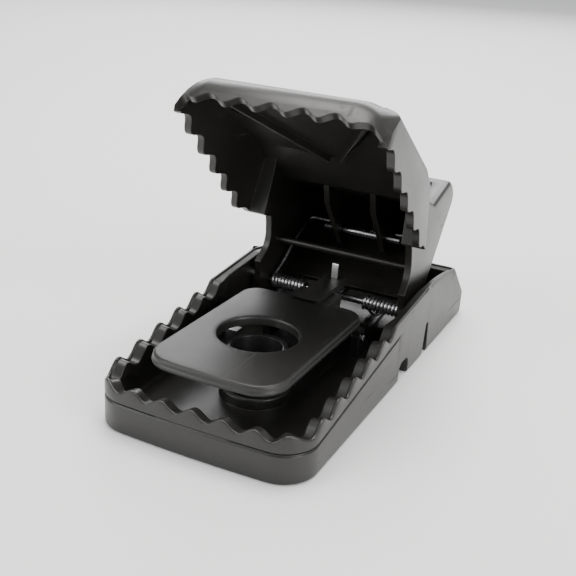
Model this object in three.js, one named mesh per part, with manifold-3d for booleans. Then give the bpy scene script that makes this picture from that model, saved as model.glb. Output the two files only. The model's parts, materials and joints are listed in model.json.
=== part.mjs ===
// Plastic snap mouse trap, drawn in its set position: the jaw is held open over the bait treadle.
// Millimetres, +Z up. The trap stands on z = 0, its width runs along X and its mouth faces -Y.
// Every piece is drawn with y counted back from the tray's front edge, and the whole trap is
// then moved by frontY, so that the open trap's box is centred on the origin.

import * as THREE from 'three';
import { mergeVertices } from 'three/addons/utils/BufferGeometryUtils.js';
import Module from 'manifold-3d';

const wasm = await Module();
wasm.setup();

// Overall sizes
const trapHalfWidth = 25;
const trapLength = 106;
const frontCorner = 8;
const rearCorner = 2.5;
const frontY = -53.77;
const runningGap = 0.3;

// Tray walls and the toothed seam between the tray and the jaw
const wall = 2.2;
const floorThickness = 2;
const seamFrontHeight = 9.6;
const seamSlope = 0.127;
const seamGap = 0.45;
const sideToothHeight = 1.15;
const frontToothHeight = 0.9;
const sideTooth = 8;
const sideToothStart = 5.6;
const sideToothCount = 5.5;
const sideToothEnd = sideToothStart + sideTooth * sideToothCount;
const frontTooth = (2 * trapHalfWidth) / 7;
const shoulderY = 54;

// Tray tail behind the hinge
const hingeRimY = 71;
const hingeRimHeight = 18.5;
const tailRimHeight = 12;
const tailCreaseHeight = 5.5;
const tailRimInset = 3;

// Hinges
const hinge = { y: 71, z: 11 };
const hingePinRadius = 0.9;
const openAngle = THREE.MathUtils.degToRad(53);
const treadlePivot = { y: 58.5, z: 7 };
const treadlePinRadius = 0.8;
const treadleTilt = THREE.MathUtils.degToRad(1);

// Jaw shell
const jawWall = 1.8;
const nose = { y: 0, z: 18.2 };
const noseRadius = 9;
const edgeRadius = 2;
const jawLean = 0.14;
const ridge = { y: 36.5, z: 31 };
const pedalHalfWidth = 20.3;
const pedalTop = 54;
const pedalBack = 77.3;
const springBar = { y: 70.7, z: 31.2, radius: 1, halfLength: 11 };

// Treadle and bait cup
const treadleHalfWidth = 15.8;
const treadleTop = 9.3;
const treadleThickness = 2.2;
const treadleTongue = { halfWidth: 3, rear: 13.6 };
const baitY = 28;
const baitHoleRadius = 9.2;
const cupRadius = 6.2;
const cupHeight = 11.5;

// Torsion springs
const wireRadius = 0.4;
const coilRadius = 1.6;
const coilTurns = 10;
const coilInner = 8.4;
const coilOuter = 17.8;

const blackPlastic = { color: 0x1b1c1d, roughness: 0.36, metalness: 0 };
const springSteel = { color: 0xb8bbbf, roughness: 0.28, metalness: 1 };

// ---------- solids ----------

function solidFrom(geometry) {
  const bare = geometry.clone();
  bare.deleteAttribute('normal');
  bare.deleteAttribute('uv');
  const merged = mergeVertices(bare, 1e-4);
  return new wasm.Manifold(new wasm.Mesh({
    numProp: 3,
    vertProperties: new Float32Array(merged.attributes.position.array),
    triVerts: new Uint32Array(merged.index.array),
  }));
}

function meshFrom(solid, name, look, pivot = { y: 0, z: 0 }) {
  const result = solid.getMesh();
  const geometry = new THREE.BufferGeometry();
  geometry.setAttribute('position', new THREE.BufferAttribute(result.vertProperties, 3));
  geometry.setIndex(new THREE.BufferAttribute(result.triVerts, 1));
  geometry.translate(0, -pivot.y, -pivot.z);
  geometry.computeVertexNormals();
  const mesh = new THREE.Mesh(geometry, new THREE.MeshStandardMaterial(look));
  mesh.name = name;
  return mesh;
}

function joined(first, ...others) {
  return others.reduce((whole, piece) => whole.add(piece), first);
}

function withHoles(first, ...others) {
  return others.reduce((whole, piece) => whole.subtract(piece), first);
}

function shapeOf(points) {
  return new THREE.Shape(points.map(([u, v]) => new THREE.Vector2(u, v)));
}

function extruded(shape, depth) {
  return new THREE.ExtrudeGeometry(shape, { depth, bevelEnabled: false, curveSegments: 6 });
}

// An outline in plan, carried up from z0 to z1.
function planSlab(shape, z0, z1) {
  return solidFrom(extruded(shape, z1 - z0).translate(0, 0, z0));
}

// An outline of (y, z) points seen from the side, carried across from x0 to x1.
function sideSlab(points, x0, x1) {
  const turn = new THREE.Matrix4().set(0, 0, 1, x0, 1, 0, 0, 0, 0, 1, 0, 0, 0, 0, 0, 1);
  return solidFrom(extruded(shapeOf(points), x1 - x0).applyMatrix4(turn));
}

// An outline of (x, z) points seen from the front, carried back from y0 to y1.
function frontSlab(points, y0, y1) {
  const turn = new THREE.Matrix4().set(1, 0, 0, 0, 0, 0, -1, y1, 0, 1, 0, 0, 0, 0, 0, 1);
  return solidFrom(extruded(shapeOf(points), y1 - y0).applyMatrix4(turn));
}

function block(x0, x1, y0, y1, z0, z1) {
  const box = new THREE.BoxGeometry(x1 - x0, y1 - y0, z1 - z0);
  return solidFrom(box.translate((x0 + x1) / 2, (y0 + y1) / 2, (z0 + z1) / 2));
}

// A round bar along X.
function crossBar(radius, x0, x1, y, z, sides = 20) {
  const bar = new THREE.CylinderGeometry(radius, radius, x1 - x0, sides);
  return solidFrom(bar.rotateZ(Math.PI / 2).translate((x0 + x1) / 2, y, z));
}

// A closed round section turned about a vertical line through (0, y).
function turned(profile, y, z) {
  const lathe = new THREE.LatheGeometry(profile.map(([r, h]) => new THREE.Vector2(r, h)), 40);
  return solidFrom(lathe.rotateX(Math.PI / 2).translate(0, y, z));
}

// A piece and its mirror image across the middle plane of the trap.
function bothSides(solid) {
  return solid.add(solid.mirror([1, 0, 0]));
}

// ---------- outlines shared by the tray and the jaw ----------

// Rounded rectangle in plan; inset draws the same outline that far inside.
function footprint(inset, halfWidth, y0, y1, frontRadius, rearRadius) {
  const w = halfWidth - inset;
  const front = y0 + inset;
  const rear = y1 - inset;
  const rf = frontRadius - inset;
  const rr = Math.max(rearRadius - inset, 0.5);
  const shape = new THREE.Shape();
  shape.moveTo(-w, rear - rr);
  shape.lineTo(-w, front + rf);
  shape.absarc(-w + rf, front + rf, rf, Math.PI, 1.5 * Math.PI, false);
  shape.quadraticCurveTo(0, front - 0.8, w - rf, front);
  shape.absarc(w - rf, front + rf, rf, 1.5 * Math.PI, 2 * Math.PI, false);
  shape.lineTo(w, rear - rr);
  shape.absarc(w - rr, rear - rr, rr, 0, 0.5 * Math.PI, false);
  shape.absarc(-w + rr, rear - rr, rr, 0.5 * Math.PI, Math.PI, false);
  return shape;
}

// Height of the toothed seam along a side wall.
function sideSeam(y) {
  const phase = (2 * Math.PI * (y - sideToothStart)) / sideTooth;
  const grown = Math.min(1, (2 * (y - sideToothStart)) / sideTooth);
  const height = frontToothHeight + (sideToothHeight - frontToothHeight) * grown;
  return seamFrontHeight + seamSlope * y - height * Math.cos(phase);
}

// Height of the toothed seam across the front wall; it meets the side seam in a valley.
function frontSeam(x) {
  const middle = seamFrontHeight + seamSlope * sideToothStart;
  return middle + frontToothHeight * Math.cos((2 * Math.PI * x) / frontTooth);
}

function samples(from, to, count) {
  return Array.from({ length: count + 1 }, (_, i) => from + ((to - from) * i) / count);
}

function sideSeamPoints(lift) {
  const stations = samples(sideToothStart, sideToothEnd, sideToothCount * 8);
  return stations.map((y) => [y, sideSeam(y) + lift]);
}

function frontSeamPoints(lift) {
  const stations = samples(-trapHalfWidth, trapHalfWidth, 56);
  return stations.map((x) => [x, frontSeam(x) + lift]);
}

// ---------- tray ----------

// Rim line of the tray behind the teeth: straight up to the hinge, then an arch down the tail.
function tailRimPoints() {
  const arch = samples(0, 1, 6).map((t) => [
    hingeRimY + (trapLength - hingeRimY) * t,
    hingeRimHeight + (tailRimHeight - hingeRimHeight) * t ** 1.25,
  ]);
  return [...arch, [trapLength + 2, tailRimHeight]];
}

// Everything above the rim of the tray.
function aboveRim() {
  const over = 40;
  const side = [
    [sideToothStart, over],
    ...sideSeamPoints(0),
    ...tailRimPoints(),
    [trapLength + 2, over],
  ];
  const wide = trapHalfWidth + 2;
  const front = [[-wide, over], [-wide, frontSeam(wide)], ...frontSeamPoints(0),
    [wide, frontSeam(wide)], [wide, over]];
  return joined(
    sideSlab(side, -wide, wide),
    frontSlab(front, -3, sideToothStart),
  );
}

// Leaning facets that narrow the tail above a crease from the hinge down to the rear corner.
function tailFacets(inset) {
  const reach = 60;
  const rise = (hingeRimHeight - tailCreaseHeight) / (trapLength - hingeRimY);
  const lean = Math.atan2(tailRimInset, tailRimHeight - tailCreaseHeight);
  const facet = new THREE.BoxGeometry(reach, 4 * reach, 2 * reach);
  facet.translate(reach / 2 - inset, 0, reach);
  facet.rotateY(-lean);
  facet.rotateX(-Math.atan(rise));
  facet.translate(trapHalfWidth, hingeRimY, hingeRimHeight);
  return bothSides(solidFrom(facet));
}

function pivotLugs() {
  const lug = sideSlab([[56.2, 1], [60.8, 1], [60.8, 7.6], [59.6, 9.3], [57.4, 9.3], [56.2, 7.6]],
    11.2, 13.2);
  return bothSides(lug);
}

function makeTray() {
  const outer = planSlab(
    footprint(0, trapHalfWidth, 0, trapLength, frontCorner, rearCorner), 0, 30);
  const hollow = planSlab(
    footprint(wall, trapHalfWidth, 0, trapLength, frontCorner, rearCorner), floorThickness, 40);
  const cupSocket = turned([[6.7, -0.5], [8.2, -0.5], [8.2, 2.6], [6.7, 2.6], [6.7, -0.5]],
    baitY, floorThickness);
  const walls = withHoles(
    outer,
    withHoles(hollow, tailFacets(wall)),
    aboveRim(),
    tailFacets(0),
  );
  const tieNotch = sideSlab(
    [[54, -1], [60.4, -1], [60.4, 2.2], [59.4, 4.6], [55, 4.6], [54, 3.6]], 19.5, 27);
  const snapSlot = sideSlab([[71.2, -1], [74.6, -1], [73.9, 8.4], [72.3, 8.4]], 22, 27);
  const pinSeat = crossBar(hingePinRadius + runningGap, 22, 24.4, hinge.y, hinge.z);
  return withHoles(
    joined(walls, cupSocket, pivotLugs()),
    bothSides(joined(tieNotch, snapSlot, pinSeat)),
    crossBar(treadlePinRadius + runningGap, -14, 14, treadlePivot.y, treadlePivot.z, 16),
  );
}

// ---------- jaw, drawn closed ----------

// Leaning planes that draw the side walls inwards above a line of the given height and slope.
function leaningSides(halfWidth, y, z, slope, lean) {
  const reach = 80;
  const side = new THREE.BoxGeometry(reach, 4 * reach, 2 * reach);
  side.translate(reach / 2, 0, 0);
  side.rotateY(-Math.atan(lean));
  side.rotateX(Math.atan(slope));
  side.translate(halfWidth, y, z);
  return bothSides(solidFrom(side));
}

// Moves every edge of an open chain of (y, z) points to its right by d and joins them again.
function insetChain(points, d) {
  const edges = points.slice(1).map(([y1, z1], i) => {
    const [y0, z0] = points[i];
    const length = Math.hypot(y1 - y0, z1 - z0);
    const ny = (z1 - z0) / length;
    const nz = -(y1 - y0) / length;
    return { y0: y0 + ny * d, z0: z0 + nz * d, y1: y1 + ny * d, z1: z1 + nz * d };
  });
  const corners = edges.slice(1).map((b, i) => {
    const a = edges[i];
    const ay = a.y1 - a.y0;
    const az = a.z1 - a.z0;
    const by = b.y1 - b.y0;
    const bz = b.z1 - b.z0;
    const t = ((b.y0 - a.y0) * bz - (b.z0 - a.z0) * by) / (ay * bz - az * by);
    return [a.y0 + ay * t, a.z0 + az * t];
  });
  const last = edges[edges.length - 1];
  return [[edges[0].y0, edges[0].z0], ...corners, [last.y1, last.z1]];
}

// The jaw's wide part from the nose up the long panel, over the ridge and down the shoulder.
const topLine = [[nose.y, nose.z], [ridge.y, ridge.z], [43.5, ridge.z], [shoulderY, 17]];

// Facets that round the edges where the leaning sides meet the planes of the top line.
function edgePlanes() {
  const side = new THREE.Vector3(1, -jawLean * seamSlope, jawLean).normalize();
  const sideDistance = side.dot(new THREE.Vector3(trapHalfWidth, 0, seamFrontHeight));
  return topLine.slice(1).flatMap(([y1, z1], i) => {
    const [y0, z0] = topLine[i];
    const top = new THREE.Vector3(0, z0 - z1, y1 - y0).normalize();
    const topDistance = top.dot(new THREE.Vector3(0, y0, z0));
    const turn = side.angleTo(top);
    return [0.25, 0.5, 0.75].map((t) => {
      const a = Math.sin(turn * (1 - t)) / Math.sin(turn);
      const b = Math.sin(turn * t) / Math.sin(turn);
      return {
        normal: side.clone().multiplyScalar(a).addScaledVector(top, b),
        distance: a * (sideDistance - edgeRadius) + b * (topDistance - edgeRadius) + edgeRadius,
      };
    });
  });
}

// Facets that round the nose and its two corners.
function nosePlanes() {
  const centre = new THREE.Vector3(15.9, noseRadius, 11.8);
  return [-90, -60, -30].flatMap((turn) => [18, 36, 54].map((rise) => {
    const [theta, phi] = [turn, rise].map(THREE.MathUtils.degToRad);
    const normal = new THREE.Vector3(
      Math.cos(theta) * Math.cos(phi),
      Math.sin(theta) * Math.cos(phi),
      Math.sin(phi),
    );
    return { normal, distance: normal.dot(centre) + noseRadius };
  }));
}

// Wide front part: a rounded nose, a long sloping panel, a level ridge and a slanted rear shoulder.
function wideBody(inset) {
  const block = sideSlab(insetChain([[nose.y, -20], ...topLine, [shoulderY, -20]], inset), -30, 30);
  const outline = footprint(inset, trapHalfWidth, 0, 90, frontCorner, rearCorner);
  const square = withHoles(
    block.intersect(planSlab(outline, -20, 40)),
    leaningSides(trapHalfWidth - inset, 0, seamFrontHeight, seamSlope, jawLean),
  );
  return [...edgePlanes(), ...nosePlanes()].reduce((body, { normal, distance }) => {
    const { x, y, z } = normal;
    const kept = body.trimByPlane([-x, -y, -z], inset - distance);
    return kept.trimByPlane([x, -y, -z], inset - distance);
  }, square);
}

// Narrow rear part: level step, sloping panel, steep ribbed thumb face and rounded pedal top.
function pedalBody(inset) {
  const chain = [[30, -20], [30, 28], [ridge.y, ridge.z], [48.5, ridge.z], [62, 39], [68.6, 51.6],
    [70.6, 53.4], [73, pedalTop], [75.6, pedalTop - 0.2], [pedalBack - 0.6, pedalTop - 1.6],
    [pedalBack, pedalTop - 3.4], [pedalBack, -20]];
  return withHoles(
    sideSlab(insetChain(chain, inset), -30, 30),
    leaningSides(pedalHalfWidth - inset, 0, hingeRimHeight, 0, 0.064),
  );
}

// Everything under the jaw: the toothed seam, then the lower edge of the ears round the hinge.
function belowJaw() {
  const ear = samples(Math.PI * 1.15, Math.PI * 1.85, 8).map((a) => [
    hinge.y + 6.6 * Math.cos(a),
    hinge.z + 6 * Math.sin(a),
  ]);
  const side = [
    [sideToothStart, -30],
    ...sideSeamPoints(seamGap),
    [shoulderY + 0.4, 20],
    [57.5, 18.6],
    [60.4, 16.4],
    [61.6, 13.6],
    [61.6, 10],
    ...ear,
    [pedalBack + 1, 10],
    [pedalBack + 1, -30],
  ];
  const wide = trapHalfWidth + 5;
  const front = [[-wide, -30], [-wide, frontSeam(wide) + seamGap],
    ...frontSeamPoints(seamGap), [wide, frontSeam(wide) + seamGap], [wide, -30]];
  return joined(
    sideSlab([...side].reverse(), -wide, wide),
    frontSlab([...front].reverse(), -3, sideToothStart),
  );
}

// Two stiffening ribs that meet in a V under the long panel.
function stiffeningRibs(outer) {
  const length = 36;
  const rib = new THREE.BoxGeometry(1, length, 80);
  rib.rotateZ(0.52).translate(10.6, 21.5, 20);
  const underPanel = withHoles(outer, outer.translate([0, 0, -3.4]));
  return bothSides(solidFrom(rib)).intersect(underPanel);
}

// Two plates inside the pedal that carry the spring bar.
function barGussets() {
  const gusset = sideSlab([[50, 31], [56, 28.4], [74, 28.4], [74, 50], [69, 50]], 5.6, 7.2);
  return bothSides(gusset).intersect(pedalBody(0.5));
}

function gripRibs() {
  const slope = Math.atan2(51.6 - 39, 68.6 - 62);
  const ribs = [0.3, 0.53, 0.76].map((t) => {
    const rib = new THREE.BoxGeometry(28, 1.6, 1.1);
    rib.rotateX(slope);
    return solidFrom(rib.translate(0, 62 + (68.6 - 62) * t, 39 + (51.6 - 39) * t));
  });
  return joined(...ribs);
}

function panelRecess() {
  const slope = Math.atan2(ridge.z - nose.z, ridge.y - nose.y);
  const depth = 0.45;
  const recess = new THREE.BoxGeometry(33, 24, 2);
  recess.translate(0, 0, 1 - depth).rotateX(slope);
  const middle = 0.5;
  recess.translate(0, nose.y + (ridge.y - nose.y) * middle, nose.z + (ridge.z - nose.z) * middle);
  return solidFrom(recess);
}

function makeJaw() {
  const wide = wideBody(0);
  const outer = joined(wide, pedalBody(0));
  const hollow = joined(wideBody(jawWall), pedalBody(jawWall));
  const shell = withHoles(outer, hollow);
  const underTop = 3;
  const rearLip = block(-17, 17, pedalBack - 1, 86.2, 24, 28.4);
  const catchLedge = crossBar(1.1, -19.5, 19.5, hinge.y - 7.6, hinge.z + 8.3, 16);
  const hangHole = joined(
    block(-3.4, 3.4, 70.4, 72.6, pedalTop - underTop, pedalTop + 1),
    block(-1.1, 1.1, 68.4, 71, pedalTop - underTop, pedalTop + 1),
  );
  const body = withHoles(
    joined(shell, stiffeningRibs(wide), barGussets()),
    belowJaw(),
    block(-pedalHalfWidth + jawWall, pedalHalfWidth - jawWall, 73.5, 79, -5, 17),
  );
  return withHoles(
    joined(body, rearLip, catchLedge, gripRibs()),
    panelRecess(),
    hangHole,
    crossBar(hingePinRadius + runningGap, -24, 24, hinge.y, hinge.z),
    crossBar(springBar.radius + runningGap, -8, 8, springBar.y, springBar.z, 16),
  );
}

// ---------- treadle, drawn level with its pivot at the origin ----------

// The plate carries a tongue that reaches back over the hinge pin, between the two coils.
function makeTreadle() {
  const baitPlace = baitY - treadlePivot.y;
  const bottom = treadleTop - treadleThickness;
  const skin = 1.4;
  const outline = (inset) => footprint(inset, treadleHalfWidth, -53.9, -5.3, 7, 5);
  const plate = withHoles(
    planSlab(outline(0), bottom, treadleTop),
    planSlab(outline(1.2), bottom - 1, treadleTop - skin),
  );
  const collar = turned([[0, bottom], [baitHoleRadius + 1.2, bottom],
    [baitHoleRadius + 1.2, treadleTop - 0.5], [0, treadleTop - 0.5]], baitPlace, 0);
  const { halfWidth, rear } = treadleTongue;
  const tongue = block(-halfWidth, halfWidth, -8, rear, bottom + 0.4, treadleTop);
  const stem = sideSlab([[-2, 0], [2, 0], [3.4, treadleTop - 1], [-5.5, treadleTop - 1]], -5.5, 5.5);
  const hub = crossBar(2.2, -10.6, 10.6, 0, 0, 24);
  const hole = turned([[0, 0], [baitHoleRadius, 0], [baitHoleRadius, 12], [0, 12]], baitPlace, 0);
  return withHoles(
    joined(plate, collar, tongue, stem, hub),
    hole,
    bothSides(block(5, 6.6, -5.6, -4.9, 5, 12)),
    block(-1.2, 1.2, 10.5, 12.1, 5, 12),
    crossBar(treadlePinRadius + runningGap, -12, 12, 0, 0, 16),
  );
}

// Steel catch that stands in the tongue's slot under the jaw's catch bar.
function makeCatch() {
  const outline = [[10.8, 7.4], [11.8, 7.4], [11.8, 13], [11.5, 13.4], [11.1, 13.4], [10.8, 13]];
  return sideSlab(outline, -0.9, 0.9);
}

// ---------- pins, bait cup and springs ----------

function makeHingePin() {
  return crossBar(hingePinRadius, -24.1, 24.1, hinge.y, hinge.z, 24);
}

function makeTreadlePin() {
  return crossBar(treadlePinRadius, -13.8, 13.8, treadlePivot.y, treadlePivot.z, 16);
}

function makeSpringBar() {
  return crossBar(springBar.radius, -springBar.halfLength, springBar.halfLength,
    springBar.y, springBar.z, 20);
}

function makeBaitCup() {
  const base = floorThickness + runningGap;
  const profile = [[0, 0], [cupRadius, 0], [cupRadius, cupHeight - 1.4], [7.1, cupHeight - 1],
    [7.1, cupHeight], [5.6, cupHeight], [5.1, 1.2], [0, 1.2]];
  return turned(profile, baitY, base);
}

// Point at a radius and angle round the hinge; the angle is counted up from the rear.
function roundHinge(x, radius, angle) {
  return new THREE.Vector3(x, hinge.y + radius * Math.cos(angle), hinge.z + radius * Math.sin(angle));
}

// Torsion spring: a leg on the tail floor, a close coil on the pin, and a leg that swings out to
// the side, back up to the spring bar and inwards behind it.
function springPath(side) {
  const barRadius = Math.hypot(springBar.y - hinge.y, springBar.z - hinge.z);
  const barAngle = Math.atan2(springBar.z - hinge.z, springBar.y - hinge.y) - openAngle;
  const legRadius = barRadius + springBar.radius + wireRadius + runningGap;
  const floorZ = floorThickness + wireRadius + runningGap;
  const points = [
    new THREE.Vector3(side * coilInner, 93, floorZ),
    new THREE.Vector3(side * coilInner, 86, floorZ),
    new THREE.Vector3(side * coilInner, 79, floorZ + 1.6),
  ];
  const startAngle = -Math.PI / 2;
  const endAngle = barAngle - 2 * Math.PI * coilTurns + Math.PI / 2 - 0.6;
  samples(0, 1, coilTurns * 12).forEach((t) => {
    const angle = startAngle + (endAngle - startAngle) * t;
    points.push(roundHinge(side * (coilInner + (coilOuter - coilInner) * t), coilRadius, angle));
  });
  [0.35, 0.6, 0.85].forEach((t) => {
    points.push(roundHinge(side * (coilOuter - 1.6 * t), legRadius * t, barAngle + 0.22 * (1 - t)));
  });
  [15.4, 13.4, 11.2, 9].forEach((x) => {
    points.push(roundHinge(side * x, legRadius, barAngle));
  });
  return new THREE.CatmullRomCurve3(points, false, 'centripetal');
}

function makeSpring(side) {
  const path = springPath(side);
  path.arcLengthDivisions = 2000;
  const ring = samples(0, 2 * Math.PI, 6).slice(0, 6);
  const section = shapeOf(ring.map((a) => [wireRadius * Math.cos(a), wireRadius * Math.sin(a)]));
  const wire = new THREE.ExtrudeGeometry(section, { steps: 170, extrudePath: path });
  return solidFrom(wire);
}

// ---------- the assembly ----------

const trap = new THREE.Group();
trap.position.y = frontY;
trap.add(
  meshFrom(makeTray(), 'base_tray', blackPlastic),
  meshFrom(makeHingePin(), 'hinge_pin', springSteel),
  meshFrom(makeTreadlePin(), 'treadle_pin', springSteel),
  meshFrom(makeBaitCup(), 'bait_cup', blackPlastic),
  meshFrom(makeSpring(-1), 'left_torsion_spring', springSteel),
  meshFrom(makeSpring(1), 'right_torsion_spring', springSteel),
);

const jaw = new THREE.Group();
jaw.position.set(0, hinge.y, hinge.z);
jaw.rotation.x = -openAngle;
jaw.add(
  meshFrom(makeJaw(), 'jaw_shell', blackPlastic, hinge),
  meshFrom(makeSpringBar(), 'spring_bar', springSteel, hinge),
);
trap.add(jaw);

const treadle = new THREE.Group();
treadle.position.set(0, treadlePivot.y, treadlePivot.z);
treadle.rotation.x = -treadleTilt;
treadle.add(
  meshFrom(makeTreadle(), 'treadle', blackPlastic),
  meshFrom(makeCatch(), 'catch_hook', springSteel),
);
trap.add(treadle);

export default trap;
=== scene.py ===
import json
import math

import bmesh
import bpy
from mathutils import Matrix, Vector


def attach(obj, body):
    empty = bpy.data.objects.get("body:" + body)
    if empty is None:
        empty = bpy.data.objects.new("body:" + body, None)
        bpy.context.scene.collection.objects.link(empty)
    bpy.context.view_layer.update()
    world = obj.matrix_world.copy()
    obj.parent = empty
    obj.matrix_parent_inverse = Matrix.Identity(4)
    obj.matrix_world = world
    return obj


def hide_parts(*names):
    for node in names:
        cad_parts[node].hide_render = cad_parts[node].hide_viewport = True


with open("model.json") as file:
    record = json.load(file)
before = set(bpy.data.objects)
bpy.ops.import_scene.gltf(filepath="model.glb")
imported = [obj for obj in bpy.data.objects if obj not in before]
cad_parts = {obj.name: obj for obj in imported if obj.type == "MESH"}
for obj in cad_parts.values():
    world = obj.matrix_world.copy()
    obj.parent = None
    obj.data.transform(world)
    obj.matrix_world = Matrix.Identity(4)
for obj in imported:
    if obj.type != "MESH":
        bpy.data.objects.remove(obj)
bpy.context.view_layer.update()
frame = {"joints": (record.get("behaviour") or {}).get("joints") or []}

# Each piece is drawn in millimetres with y counted back from the tray's front edge. The jaw is
# drawn in its closed position, and the treadle level with its pivot at the origin.
joints = {joint["name"]: joint for joint in frame["joints"]}
HINGE = Vector(joints["jaw_hinge"]["pos_m"])
PIVOT = Vector(joints["treadle_pivot"]["pos_m"])
OPEN = math.radians(joints["jaw_hinge"]["range_deg"][1])
REST_TILT = math.radians(1.0)

HINGE_Y, HINGE_Z = 71.0, 11.0
PIVOT_Y, PIVOT_Z = 58.5, 7.0
MM = Matrix.Scale(0.001, 4)
TRAY_PLACE = Matrix.Translation((0, HINGE.y - HINGE_Y / 1000, 0)) @ MM
JAW_PLACE = (
    Matrix.Translation(HINGE)
    @ Matrix.Rotation(-OPEN, 4, "X")
    @ MM
    @ Matrix.Translation((0, -HINGE_Y, -HINGE_Z))
)
TREADLE_PLACE = Matrix.Translation(PIVOT) @ Matrix.Rotation(-REST_TILT, 4, "X") @ MM

# The tray's outline and walls.
HALF_WIDTH = 25.0
LENGTH = 106.0
FRONT_RADIUS = 8.0
REAR_RADIUS = 2.5
SMALLEST_RADIUS = 0.5
FRONT_BOW = 0.4
WALL = 2.2
FLOOR_TOP = 2.0
RIM_AT_HINGE = 18.5
RIM_AT_TAIL = 12.0
RIM_FALL = 1.25
CREASE_AT_TAIL = 5.5
TAIL_NARROWING = 3
BAIT_Y = 28.0

# The teeth: a wave of this pitch and height along a seam that rises to the rear.
TOOTH = 8.0
TOOTH_START = 5.6
TOOTH_END = 49.6
SIDE_TOOTH_HEIGHT = 1.15
FRONT_TOOTH_HEIGHT = 0.9
FRONT_TOOTH = 2 * HALF_WIDTH / 7
SEAM_FRONT = 9.6
SEAM_SLOPE = 0.127
SEAM_GAP = 0.45
SEAM_STEPS_PER_MM = 2

# Steel rods and the bores that they turn in.
HINGE_ROD_RADIUS = 0.9
HINGE_BORE_RADIUS = 1.2
TREADLE_ROD_RADIUS = 0.8
TREADLE_BORE_RADIUS = 1.1
BAR_ROD_RADIUS = 1.0
BAR_BORE_RADIUS = 1.3
BAR_Y, BAR_Z = 70.7, 31.2
ROD_CHAMFER = 0.2

# The torsion springs.
WIRE = 0.4
COIL_RADIUS = 1.6
COIL_IN, COIL_OUT = 8.4, 17.8
TURNS = 10
BAR_REACH = math.hypot(BAR_Y - HINGE_Y, BAR_Z - HINGE_Z)
BAR_ANGLE = math.atan2(BAR_Z - HINGE_Z, BAR_Y - HINGE_Y) - OPEN
COIL_START = -math.pi / 2
COIL_END = BAR_ANGLE - 2 * math.pi * TURNS + math.pi / 2 - 0.6

# Tolerances of the modelling steps, and the angle above which an edge is shaded as an edge.
ON_PLANE = 1e-5
SAME_PLACE = 1e-4
SMALLEST_CUT = 0.02
SHARP_ANGLE = math.radians(35.0)


# ---------- materials ----------


class Signal:
    """A number that varies over a surface. Arithmetic on it adds Math nodes."""

    def __init__(self, finish, socket):
        self.finish = finish
        self.socket = socket

    def _math(self, operation, first, second):
        node = self.finish.node("Math", {"operation": operation}, {0: first, 1: second})
        return Signal(self.finish, node.outputs[0])

    def __add__(self, other):
        return self._math("ADD", self, other)

    __radd__ = __add__

    def __mul__(self, other):
        return self._math("MULTIPLY", self, other)

    __rmul__ = __mul__

    def __sub__(self, other):
        return self._math("SUBTRACT", self, other)

    def __rsub__(self, other):
        return self._math("SUBTRACT", other, self)

    def __pow__(self, other):
        return self._math("POWER", self, other)


class Finish:
    """A material and the nodes that are added to it."""

    def __init__(self, name):
        self.material = bpy.data.materials.new(name)
        self.material.use_nodes = True
        self.tree = self.material.node_tree
        self.shader = self.tree.nodes["Principled BSDF"]
        self.place = self.node("TexCoord").outputs["Object"]

    def node(self, kind, settings=None, inputs=None):
        made = self.tree.nodes.new("ShaderNode" + kind)
        for key, value in (settings or {}).items():
            setattr(made, key, value)
        for key, value in (inputs or {}).items():
            self.join(made.inputs[key], value)
        return made

    def join(self, socket, value):
        if isinstance(value, Signal):
            value = value.socket
        if isinstance(value, bpy.types.NodeSocket):
            self.tree.links.new(value, socket)
        else:
            socket.default_value = value

    def set(self, **values):
        for key, value in values.items():
            self.join(self.shader.inputs[key.replace("_", " ")], value)

    def noise(self, scale, detail=3.0, roughness=0.5, stretch=None, turn=(0, 0, 0)):
        """Noise from 0 to 1 with features about 1/scale metres across. The stretch draws it out
        along the axes where it is small."""
        place = self.place
        if stretch:
            mapping = self.node("Mapping", None,
                                {"Vector": place, "Rotation": turn, "Scale": stretch})
            place = mapping.outputs["Vector"]
        made = self.node("TexNoise", None, {
            "Vector": place, "Scale": scale, "Detail": detail, "Roughness": roughness})
        return Signal(self, made.outputs["Fac"])

    def between(self, signal, low, high):
        """0 where the signal is below low, 1 above high."""
        made = self.node("MapRange", {"interpolation_type": "SMOOTHSTEP"}, {
            "Value": signal, "From Min": low, "From Max": high})
        return Signal(self, made.outputs["Result"])

    def mix(self, factor, first, second):
        made = self.node("Mix", {"data_type": "RGBA"}, {0: factor, 6: first, 7: second})
        return made.outputs[2]

    def bump(self, height, distance):
        made = self.node("Bump", None, {"Height": height, "Distance": distance, "Strength": 1.0})
        return made.outputs["Normal"]


def scratches(finish, turn):
    """Thin hairline scratches along one direction, in patches."""
    lines = finish.noise(scale=900.0, detail=1.0, roughness=0.4, stretch=(1.0, 0.035, 1.0),
                         turn=turn)
    patches = finish.between(finish.noise(scale=70.0, detail=2.0), low=0.48, high=0.62)
    return finish.between(lines, low=0.66, high=0.72) * patches


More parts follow.
